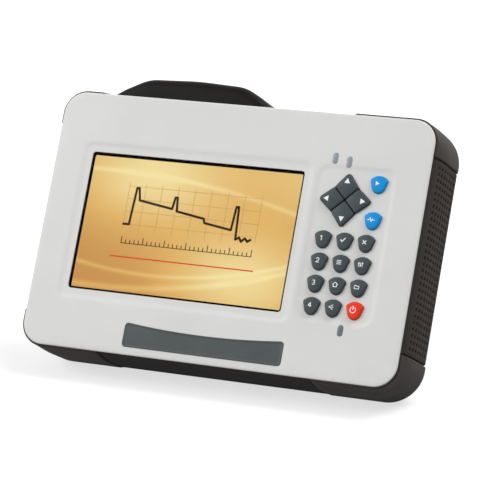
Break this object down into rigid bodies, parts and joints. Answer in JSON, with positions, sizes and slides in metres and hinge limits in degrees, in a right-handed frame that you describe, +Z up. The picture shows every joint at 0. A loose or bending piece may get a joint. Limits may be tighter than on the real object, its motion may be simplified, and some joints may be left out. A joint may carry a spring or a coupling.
{
  "type": "tablet optical time-domain reflectometer",
  "caption": "Hand-held optical fibre tester: light front panel with screen and keypad, black shell with rubber corners, top dust cover and folding rear stand.",
  "frame": {"origin": "centre of the bounding box on the ground, with the tester leaning back on its opened stand", "axes": "+X to the right seen from the screen side, +Y towards the rear, +Z up"},
  "size_m": [0.253, 0.1348, 0.1736],
  "materials": {
    "panel_white": "satin",
    "shell_black": "fine texture",
    "bumper_rubber": "matt",
    "key_dark": "satin",
    "key_blue": "satin",
    "key_red": "satin",
    "plate_grey": "satin",
    "glass_clear": "gloss",
    "window_smoke": "gloss",
    "steel": "bright",
    "brass": "bright",
    "zirconia": "gloss",
    "board_green": "satin",
    "metal_grey": "satin",
    "silicone": "matt",
    "battery_blue": "satin",
    "seal_black": "matt",
    "ribbon": "satin"
  },
  "bodies": {
    "housing": {"battery_cover": "shell_black", "battery_pack": "battery_blue", "board_screws": "steel", "bumper_bottom_left": "bumper_rubber", "bumper_bottom_right": "bumper_rubber", "bumper_top_left": "bumper_rubber", "bumper_top_right": "bumper_rubber", "case_seal": "seal_black", "chassis_frame": "metal_grey", "dc_jack": "seal_black", "front_bezel": "panel_white", "keymat": "silicone", "keypad_board": "board_green", "kickstand_pins": "steel", "lcd_module": "metal_grey", "lcd_ribbon": "ribbon", "led_window_charge": "window_smoke", "led_window_power": "window_smoke", "main_board": "board_green", "nameplate": "plate_grey", "otdr_module": "metal_grey", "otdr_port": "brass", "port_cover_pin": "steel", "port_panel": "metal_grey", "power_meter_port": "brass", "rear_screws": "steel", "rear_shell": "shell_black", "rj45_socket": "steel", "rubber_feet": "bumper_rubber", "screen_gasket": "seal_black", "screen_glass": "glass_clear", "sensor_window": "window_smoke", "side_grip_left": "bumper_rubber", "side_grip_right": "bumper_rubber", "speaker": "seal_black", "usb_a_socket": "steel", "usb_b_socket": "steel", "vfl_port": "steel"},
    "stand": {"kickstand": "metal_grey", "kickstand_foot": "bumper_rubber"},
    "dust_cover": {"port_cover": "shell_black"},
    "data_flap": {"data_port_cover": "bumper_rubber"},
    "key_down": {"key_down": "key_dark"},
    "key_esc": {"key_esc": "key_dark"},
    "key_f1": {"key_f1": "key_dark"},
    "key_f2": {"key_f2": "key_dark"},
    "key_f3": {"key_f3": "key_dark"},
    "key_f4": {"key_f4": "key_dark"},
    "key_file": {"key_file": "key_dark"},
    "key_home": {"key_home": "key_dark"},
    "key_left": {"key_left": "key_dark"},
    "key_menu": {"key_menu": "key_dark"},
    "key_ok": {"key_ok": "key_dark"},
    "key_power": {"key_power": "key_red"},
    "key_real_time": {"key_real_time": "key_blue"},
    "key_right": {"key_right": "key_dark"},
    "key_setup": {"key_setup": "key_dark"},
    "key_test": {"key_test": "key_blue"},
    "key_up": {"key_up": "key_dark"},
    "key_vfl": {"key_vfl": "key_dark"}
  },
  "joints": [
    {"name": "key_down_press", "type": "slide", "parent": "housing", "child": "key_down", "axis": [0, 0.8988, -0.4384], "range_m": [0, 0.001], "stiffness_N_per_m": 600, "springref_m": -0.0003},
    {"name": "key_esc_press", "type": "slide", "parent": "housing", "child": "key_esc", "axis": [0, 0.8988, -0.4384], "range_m": [0, 0.001], "stiffness_N_per_m": 600, "springref_m": -0.0003},
    {"name": "key_f1_press", "type": "slide", "parent": "housing", "child": "key_f1", "axis": [0, 0.8988, -0.4384], "range_m": [0, 0.001], "stiffness_N_per_m": 600, "springref_m": -0.0003},
    {"name": "key_f2_press", "type": "slide", "parent": "housing", "child": "key_f2", "axis": [0, 0.8988, -0.4384], "range_m": [0, 0.001], "stiffness_N_per_m": 600, "springref_m": -0.0003},
    {"name": "key_f3_press", "type": "slide", "parent": "housing", "child": "key_f3", "axis": [0, 0.8988, -0.4384], "range_m": [0, 0.001], "stiffness_N_per_m": 600, "springref_m": -0.0003},
    {"name": "key_f4_press", "type": "slide", "parent": "housing", "child": "key_f4", "axis": [0, 0.8988, -0.4384], "range_m": [0, 0.001], "stiffness_N_per_m": 600, "springref_m": -0.0003},
    {"name": "key_file_press", "type": "slide", "parent": "housing", "child": "key_file", "axis": [0, 0.8988, -0.4384], "range_m": [0, 0.001], "stiffness_N_per_m": 600, "springref_m": -0.0003},
    {"name": "key_home_press", "type": "slide", "parent": "housing", "child": "key_home", "axis": [0, 0.8988, -0.4384], "range_m": [0, 0.001], "stiffness_N_per_m": 600, "springref_m": -0.0003},
    {"name": "key_left_press", "type": "slide", "parent": "housing", "child": "key_left", "axis": [0, 0.8988, -0.4384], "range_m": [0, 0.001], "stiffness_N_per_m": 600, "springref_m": -0.0003},
    {"name": "key_menu_press", "type": "slide", "parent": "housing", "child": "key_menu", "axis": [0, 0.8988, -0.4384], "range_m": [0, 0.001], "stiffness_N_per_m": 600, "springref_m": -0.0003},
    {"name": "key_ok_press", "type": "slide", "parent": "housing", "child": "key_ok", "axis": [0, 0.8988, -0.4384], "range_m": [0, 0.001], "stiffness_N_per_m": 600, "springref_m": -0.0003},
    {"name": "key_power_press", "type": "slide", "parent": "housing", "child": "key_power", "axis": [0, 0.8988, -0.4384], "range_m": [0, 0.001], "stiffness_N_per_m": 600, "springref_m": -0.0003},
    {"name": "key_real_time_press", "type": "slide", "parent": "housing", "child": "key_real_time", "axis": [0, 0.8988, -0.4384], "range_m": [0, 0.001], "stiffness_N_per_m": 600, "springref_m": -0.0003},
    {"name": "key_right_press", "type": "slide", "parent": "housing", "child": "key_right", "axis": [0, 0.8988, -0.4384], "range_m": [0, 0.001], "stiffness_N_per_m": 600, "springref_m": -0.0003},
    {"name": "key_setup_press", "type": "slide", "parent": "housing", "child": "key_setup", "axis": [0, 0.8988, -0.4384], "range_m": [0, 0.001], "stiffness_N_per_m": 600, "springref_m": -0.0003},
    {"name": "key_test_press", "type": "slide", "parent": "housing", "child": "key_test", "axis": [0, 0.8988, -0.4384], "range_m": [0, 0.001], "stiffness_N_per_m": 600, "springref_m": -0.0003},
    {"name": "key_up_press", "type": "slide", "parent": "housing", "child": "key_up", "axis": [0, 0.8988, -0.4384], "range_m": [0, 0.001], "stiffness_N_per_m": 600, "springref_m": -0.0003},
    {"name": "key_vfl_press", "type": "slide", "parent": "housing", "child": "key_vfl", "axis": [0, 0.8988, -0.4384], "range_m": [0, 0.001], "stiffness_N_per_m": 600, "springref_m": -0.0003},
    {"name": "stand_hinge", "type": "hinge", "parent": "housing", "child": "stand", "pos_m": [0, 0.0443, 0.09387], "axis": [1, 0, 0], "range_deg": [-38.3, 0]},
    {"name": "dust_cover_hinge", "type": "hinge", "parent": "housing", "child": "dust_cover", "pos_m": [-0.0425, 0.0476, 0.149], "axis": [-1, 0, 0], "range_deg": [0, 110]},
    {"name": "data_flap_hinge", "type": "hinge", "parent": "housing", "child": "data_flap", "pos_m": [0.0413, 0.03635, 0.15126], "axis": [-1, 0, 0], "range_deg": [0, 95]}
  ]
}
